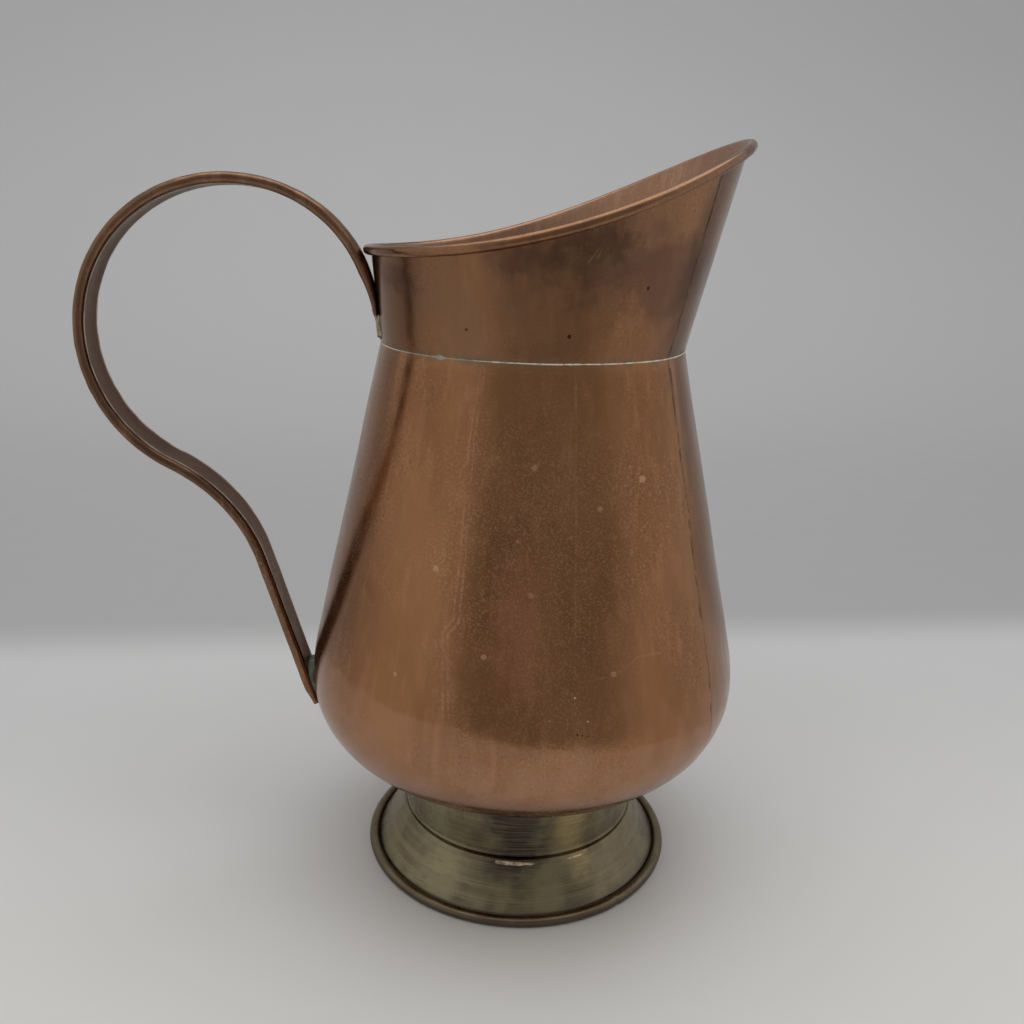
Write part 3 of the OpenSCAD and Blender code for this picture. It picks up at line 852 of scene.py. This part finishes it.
def make_collar_seam(finish):
    angle = SEAM + math.radians(0.35)
    side = Vector((-math.sin(angle), math.cos(angle), 0))
    out = collar_out(angle)
    top = rim_height(angle) - 2.4
    count = 70
    stations = []
    for i in range(count + 1):
        height = 0.9 + (top - 0.9) * i / count
        point = collar_point(angle, height)
        stations.append((point, out, side))
    return piece("collar_seam_line", [ribbon(stations, 0.8)], finish,
                 ["collar_seam_solder"])


def make_handle_top_solder(finish):
    """Solder run along both sides and under the tip of the tongue."""
    lean = COLLAR_FLARE - COLLAR_LEAN
    half = STRAP_PITCH / 2 - 0.5
    top_h = ROLLS_END_Z - NECK_Z + 1
    low_h = TONGUE_END_Z - NECK_Z

    def on_collar(y, height):
        radius = NECK_R + COLLAR_FLARE * height
        return Vector((COLLAR_LEAN * height - math.sqrt(radius ** 2 - y ** 2), y, NECK_Z + height))

    border = [on_collar(-half, top_h + (low_h - top_h) * i / 14) for i in range(14)]
    border += [on_collar(-half + 2 * half * i / 22, low_h) for i in range(23)]
    border += [on_collar(half, low_h + (top_h - low_h) * i / 14) for i in range(1, 15)]

    def thick(share, at):
        return 0.75 + 0.3 * noise.noise(at / 2.5) + 0.15 * noise.noise(at / 0.8)

    fill = []
    for i in range(11):
        share = i / 10
        height = low_h + (top_h + 2.5 - low_h) * share
        depth = 0.2 + 2 * STRAP_ROLL_R * TOP_FLATNESS * smooth_step(share * 1.6 - 0.5)
        ring = []
        for j in range(24):
            turn = math.tau * j / 24
            base = on_collar((half - 1.6) * math.cos(turn), height)
            lump = 0.35 * noise.noise(base / 2)
            ring.append(base + Vector((-(depth / 2 + lump) * (1 + math.sin(turn)) + 0.3, 0, 0)))
        fill.append(ring)
    return piece("handle_top_solder_run", [tube(border, thick), (fill, False)], finish,
                 ["handle_top_solder"])


def make_handle_bottom_solder(finish):
    """The crust of solder and verdigris that fills the gap between the leg's end and the body."""
    top_z = 93.0
    low_z = LEG_END_Z - 1.0
    rows = 34
    sides = 44
    rings = []
    for i in range(rows + 1):
        share = i / rows
        z = low_z + (top_z - low_z) * share
        leg_x = LEG.x - (LEG.y - z) * math.tan(LEG_LEAN)
        taper = math.sqrt(max(0.02, 1 - abs(2 * share - 1) ** 5))
        half = (STRAP_PITCH / 2 + 1.1) * taper
        near = body_radius(z) - 1.2
        far = max(near + 0.6, near + (leg_x - 0.4 - near) * taper)
        ring = []
        for j in range(sides):
            turn = math.tau * j / sides
            c = math.copysign(abs(math.cos(turn)) ** 0.5, math.cos(turn))
            s = math.copysign(abs(math.sin(turn)) ** 0.5, math.sin(turn))
            p = Vector((-(near + far) / 2 - (far - near) / 2 * c, half * s, z))
            lump = 0.5 * noise.noise(p / 3.2) + 0.3 * noise.noise(p / 1.2)
            ring.append(p + Vector((-c, s, 0)).normalized() * lump)
        rings.append(ring)
    return piece("handle_bottom_crust", [(rings, False)], finish,
                 ["handle_bottom_solder"])


def make_bowl_foot_solder(finish):
    reach = 3.2
    top = floor_height(DRUM_R, 0)
    corner = Vector((DRUM_R - 0.4, top - 3.2))
    start = Vector((DRUM_R + 0.12, top - 3.2))
    stop = Vector((DRUM_R + reach, floor_height(DRUM_R + reach, 0) - 0.05))
    pull = Vector((DRUM_R + 0.5, top - 0.7))
    curve = []
    steps = 9
    for i in range(steps + 1):
        t = i / steps
        curve.append(start * (1 - t) ** 2 + pull * 2 * t * (1 - t) + stop * t ** 2)
    profile = [corner] + curve + [stop + Vector((0, 0.5)), Vector((DRUM_R - 0.4, top + 0.3))]

    def change(point, angle):
        below = Vector((point.x, point.y, 0))
        ragged = rough(below, 5, 0.45, 12) + rough(below, 1.6, 0.15, 13)
        low = smooth_step((top - 1.5 - point.z) / 1.5)
        return point + Vector((0, 0, ragged * low))

    return piece("bowl_foot_fillet", [lathe(profile, turns(300), change)], finish,
                 ["bowl_foot_solder"])


# ---------- marks and colours of the metals ----------

# Places are given as the direction in degrees from the lip and the height
# A reddish patch
BLUSH = (-99, 142)
BLUSH_R = 8
# Fine pale specks lie like sand round this place
SANDY = (-95, 160)
SANDY_R = 36
# The bowl is painted paler below a slightly slanting line, a painted reflection of the table's edge:
# its height on the axis, and its slope
REFLECTED_HORIZON_Z = 99
REFLECTED_HORIZON_SLOPE = 0.11
# Between these two heights it grows paler still, a painted reflection of the pale table
FLOOR_REFLECTION_FROM = 100
FLOOR_REFLECTION_TO = 62
# Each stain ends with its radius and its strength
STAINS = (
    (-81, 277, 6, 0.5), (-104, 271, 7, 0.35), (-92, 271, 7, 0.25), (-150, 262, 5, 0.5),
    (-52, 266, 16, 0.5),
)
# Each spot, speck and pit ends with its radius
SPOTS = (
    (-96, 199, 1.2), (-62, 193, 1.4), (-77, 184, 1.0), (-122, 160, 1.1), (-100, 173, 0.6),
    (-96, 154, 1.0), (-107, 131, 1.0), (-75, 124, 1.1), (-130, 118, 0.8), (-91, 109, 0.5),
)
BRIGHT_SPECKS = ((-85, 117, 0.4), (-82, 108, 0.35))
DARK_PITS = (
    (-87, 245, 0.8), (-63, 262, 0.7), (-84.5, 103.5, 0.45), (-83.3, 103, 0.4),
    (-82, 102.5, 0.35), (-120, 246, 0.5),
)
SCRATCHES = (
    ((-113, 214.5), (-102, 216)),
    ((-112, 231), (-100, 232), (-88, 232)),
    ((-84, 122.5), (-78, 123), (-73, 124.5), (-68, 128.5), (-63, 128.5), (-58, 127)),
    ((-84.5, 270.5), (-80.5, 278.5), (-82, 272)),
)
# Faint broken upright light lines painted on the copper: painted reflections of bright edges round the
# jug
UPRIGHT_REFLECTION_LINES = (
    ((-114.3, 233), (-116, 208), (-115.4, 166), (-115.6, 143), (-118, 138), (-117, 122), (-115.6, 105)),
    ((-112.9, 233), (-114.5, 208), (-113.9, 166), (-114.1, 142), (-116.6, 137), (-115.5, 122),
     (-114.2, 105)),
    ((-83.5, 234), (-84, 180), (-85, 123.5)),
)
# The edge of the upper sheet along the lap seam
LAP_EDGE = ((-42.6, 312), (-42.6, 235.2), (-42.6, 234.8), (-42.6, 107), (-42.6, 96))
# Direction of the green lump in the solder round the neck
LUMP_AT = -130
# Direction, height, radius from the axis, size, strength and tone of painted light and shade on the
# foot: the first and the last are dark painted reflections of dark surroundings, the others painted
# highlights
FOOT_LIGHT_SHADE_PATCHES = (
    (-96, 37, 52.6, 14, 1.0, (0.06, 0.048, 0.04)),
    (-71, 34, 52.6, 7, 0.55, (0.5, 0.38, 0.17)),
    (-67, 18, 56, 5, 0.4, (0.5, 0.38, 0.17)),
    (-130, 18, 56.5, 8, 0.3, (0.36, 0.31, 0.17)),
    (-140, 33, 52.6, 9, 0.5, (0.33, 0.3, 0.19)),
    (-40, 12, 60, 11, 0.45, (0.16, 0.125, 0.1)),
)
# Direction, height and radius from the axis of painted highlights, thin bright lines along the skirt's
# step
STEP_HIGHLIGHT_LINES = (
    ((-106, 20.4, 55), (-97, 20.3, 55), (-88, 20.3, 55)),
    ((-76, 20.3, 55), (-66, 20.3, 55)),
)

STAIN_COLOUR = (0.085, 0.04, 0.035)
BLUSH_COLOUR = (0.6, 0.25, 0.14)
SPOT_COLOUR = (0.52, 0.29, 0.17)
SAND_COLOUR = (0.55, 0.32, 0.19)
BRIGHT_COLOUR = (0.85, 0.75, 0.6)
PIT_COLOUR = (0.03, 0.018, 0.012)
LAP_COLOUR = (0.05, 0.028, 0.018)
FLUX_COLOUR = (0.16, 0.15, 0.1)
# Colours of the painted highlight along the strap's edges and of the painted shade line beside it
STRAP_HIGHLIGHT_COLOUR = (0.8, 0.6, 0.45)
STRAP_SHADE_LINE_COLOUR = (0.03, 0.02, 0.016)
GLINT_COLOUR = (0.95, 0.72, 0.45)
ROLL_COLOUR = (0.115, 0.085, 0.062)
COLLAR_TONE = (0.235, 0.135, 0.083)
# Tone of the painted reflection of the pale table on the lower bowl
BOWL_REFLECTION_TONE = (0.5, 0.29, 0.19)
COPPER_TONES = ((0.255, 0.117, 0.053), (0.34, 0.16, 0.073), (0.46, 0.225, 0.115))
INSIDE_TONES = ((0.36, 0.2, 0.125), (0.45, 0.26, 0.17), (0.56, 0.36, 0.25))
HANDLE_TONES = ((0.135, 0.075, 0.045), (0.22, 0.12, 0.07), (0.38, 0.21, 0.13))
# Darker tones for the strap's inner faces: painted shade
SHADED_STRAP_INSIDE_TONES = ((0.14, 0.085, 0.06), (0.2, 0.12, 0.082), (0.3, 0.19, 0.13))


def make_pieces():
    # How far from the strap's middle its painted highlight runs
    strap_highlight_y = STRAP_PITCH / 2 - 0.2
    body_copper = copper("aged_copper", COPPER_TONES, 0.21, marks=True)
    inside_copper = copper("aged_copper_inside", INSIDE_TONES, 0.42)
    strap_copper = copper("aged_copper_handle", HANDLE_TONES, 0.28, strap_highlight_y=strap_highlight_y)
    # Painted shade: a darker copy of the handle's copper for the strap's inner faces, which face the
    # body and mirror the dark surroundings
    shaded_strap_inside = copper("aged_copper_strap_inside_shaded", SHADED_STRAP_INSIDE_TONES, 0.3, strap_highlight_y=strap_highlight_y,
                          edge_tint=(0.67, 0.63, 0.6))
    foot_brass = brass("tarnished_brass")
    tin = crust("tin_solder_dull", 0.7, (0.5, 0.49, 0.4), (0.25, 0.29, 0.22), 0.52, 0.4)
    greening = (around(NECK_R, math.radians(LUMP_AT), NECK_Z), 22)
    neck_tin = crust("tin_solder_neck", 0.5, (0.85, 0.8, 0.68), (0.2, 0.23, 0.17), 0.62, 0.35, greening)
    seam = crust("hard_solder_dark", 0.8, (0.16, 0.085, 0.045), (0.34, 0.2, 0.11), 0.55, 0.38)
    green = crust("verdigris_crust", 0.15, (0.13, 0.16, 0.12), (0.2, 0.36, 0.27), 0.5, 0.6)
    iron = crust("iron_wire", 0.9, (0.22, 0.2, 0.18), (0.16, 0.08, 0.045), 0.5, 0.45)

    make_body(body_copper, inside_copper)
    make_collar(body_copper, inside_copper)
    make_strap(strap_copper, shaded_strap_inside)
    make_drum(foot_brass)
    make_skirt(foot_brass)
    make_neck_solder(neck_tin)
    make_body_seam(seam)
    make_collar_seam(seam)
    make_handle_top_solder(tin)
    make_handle_bottom_solder(green)
    make_bowl_foot_solder(seam)

    kept = {
        "bottom_disc": inside_copper,
        "bottom_solder": tin,
        "drum_skirt_solder": tin,
        "rim_wire": iron,
        "handle_wire_near": iron,
        "handle_wire_far": iron,
        "foot_wire": iron,
    }
    for node, finish in kept.items():
        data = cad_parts[node].data
        data.materials.clear()
        data.materials.append(finish)


# ---------- studio ----------

TOP_WATTS = 7.0
TENT_GLOW = 0.6
OPENING_GLOW = 0.3
TENT_OPENING = (0.1, -0.99, 0.05)
OPENING_EDGE = (0.5, 0.85)
# The table is painted paler in front of the jug, a painted light, and painted darker between these two
# depths behind it, a painted shade standing in for the tent's wall
WALL_SHADE_FROM = 190.0
WALL_SHADE_TO = 270.0
# The front edge of the table, from left to right
TABLE_FRONT = ((-2600, -1100), (-610, -610), (-94, -458), (73, -413), (223, -310), (340, -205),
               (2600, 1000))


def make_stage():
    """A pale table that curves up into a pale wall, painted paler in front of the jug and darker behind
    it as painted light and shade.
    """
    depth = 1500.0
    wall_h = 1900.0
    curve_r = 700.0
    back = arc(Vector((depth - curve_r, curve_r)), curve_r, -math.pi / 2, 0, 60)
    back.append(Vector((depth, wall_h)))
    points = []
    for x, front in TABLE_FRONT:
        line = [Vector((min(front, back[0].x - 10), 0.0))] + back
        points += [Vector((x, p.x, p.y)) * MM for p in line]
    rows = len(back) + 1
    faces = []
    for i in range(len(TABLE_FRONT) - 1):
        for j in range(rows - 1):
            k = i * rows + j
            faces.append((k, k + rows, k + rows + 1, k + 1))
    mesh = bpy.data.meshes.new("stage_sweep")
    mesh.from_pydata(points, [], faces)
    mesh.shade_smooth()
    f = Finish("stage_grey", 0.0)
    depth_y = f.along("Y")
    # Painted light: the table is painted paler towards the front of the jug
    front_light = f.remap(depth_y, 150 * MM, -150 * MM)
    pale = f.mix(front_light, (0.65, 0.65, 0.65), (0.8, 0.795, 0.77))
    pale = f.mix(f.remap(f.noise(180, 3), 0.3, 0.7, 0.0, 0.1), pale, (0.6, 0.6, 0.6))
    # Painted shade: a little behind the jug the table is painted darker, standing in for the tent's
    # wall, and it grows paler again further back
    wall = f.mix(f.remap(depth_y, WALL_SHADE_TO * MM, 1750 * MM), (0.45, 0.45, 0.45), (0.72, 0.72, 0.72))
    colour = f.mix(f.remap(depth_y, WALL_SHADE_FROM * MM, WALL_SHADE_TO * MM), pale, wall)
    shine = f.remap(f.noise(40, 2), 0.3, 0.7, 0.55, 0.65)
    mesh.materials.append(f.done(colour, shine, f.bump(f.noise(3, 3), 0.05)))
    sweep = bpy.data.objects.new("stage_sweep", mesh)
    bpy.context.scene.collection.objects.link(sweep)


def softbox(name, place_mm, aim_mm, size_mm, watts, colour=(1, 1, 1)):
    light = bpy.data.lights.new(name, "AREA")
    light.shape = "RECTANGLE"
    light.size = size_mm[0] * MM
    light.size_y = size_mm[1] * MM
    light.energy = watts
    light.color = colour
    obj = bpy.data.objects.new(name, light)
    obj.location = Vector(place_mm) * MM
    obj.rotation_mode = "QUATERNION"
    obj.rotation_quaternion = (Vector(aim_mm) - Vector(place_mm)).to_track_quat("-Z", "Y")
    obj.visible_camera = False
    bpy.context.scene.collection.objects.link(obj)


def make_lights():
    """A light tent: an even glow all round, a little darker at its opening in front of the jug."""
    softbox("soft_top", (0, 100, 1400), (0, 0, 160), (1500, 1300), TOP_WATTS)
    world = bpy.data.worlds.new("tent")
    world.use_nodes = True
    nodes = world.node_tree.nodes
    links = world.node_tree.links
    direction = nodes.new("ShaderNodeTexCoord")
    front = nodes.new("ShaderNodeVectorMath")
    front.operation = "DOT_PRODUCT"
    front.inputs[1].default_value = TENT_OPENING
    fade = nodes.new("ShaderNodeMapRange")
    fade.interpolation_type = "SMOOTHSTEP"
    fade.inputs["From Min"].default_value = OPENING_EDGE[0]
    fade.inputs["From Max"].default_value = OPENING_EDGE[1]
    fade.inputs["To Min"].default_value = TENT_GLOW
    fade.inputs["To Max"].default_value = OPENING_GLOW
    links.new(direction.outputs["Generated"], front.inputs[0])
    links.new(front.outputs["Value"], fade.inputs["Value"])
    links.new(fade.outputs["Result"], nodes["Background"].inputs["Strength"])
    nodes["Background"].inputs["Color"].default_value = (1.0, 1.0, 1.0, 1)
    bpy.context.scene.world = world


CAMERA_PLACE = (-54.6, -398.2, 280.6)
CAMERA_LENS = 33.4
CAMERA_SENSOR = 36.0


def make_camera():
    """The photograph's view: from the jug's right side, a little above, turned and tilted slightly."""
    yaw = 0.12
    pitch = 0.289
    roll = 0.03
    ahead = Vector((math.sin(yaw), math.cos(yaw), 0))
    forward = ahead * math.cos(pitch) - Vector((0, 0, math.sin(pitch)))
    level = Vector((math.cos(yaw), -math.sin(yaw), 0))
    up = level.cross(forward)
    right = level * math.cos(roll) + up * math.sin(roll)
    up = up * math.cos(roll) - level * math.sin(roll)
    camera = bpy.data.cameras.new("camera")
    camera.sensor_width = CAMERA_SENSOR
    camera.lens = CAMERA_LENS
    obj = bpy.data.objects.new("camera", camera)
    turn = Matrix((right, up, -forward)).transposed().to_4x4()
    obj.matrix_world = Matrix.Translation(Vector(CAMERA_PLACE) * MM) @ turn
    bpy.context.scene.collection.objects.link(obj)
    bpy.context.scene.camera = obj


make_camera()
make_lights()
make_stage()
make_pieces()
bpy.context.scene.view_settings.view_transform = "Standard"
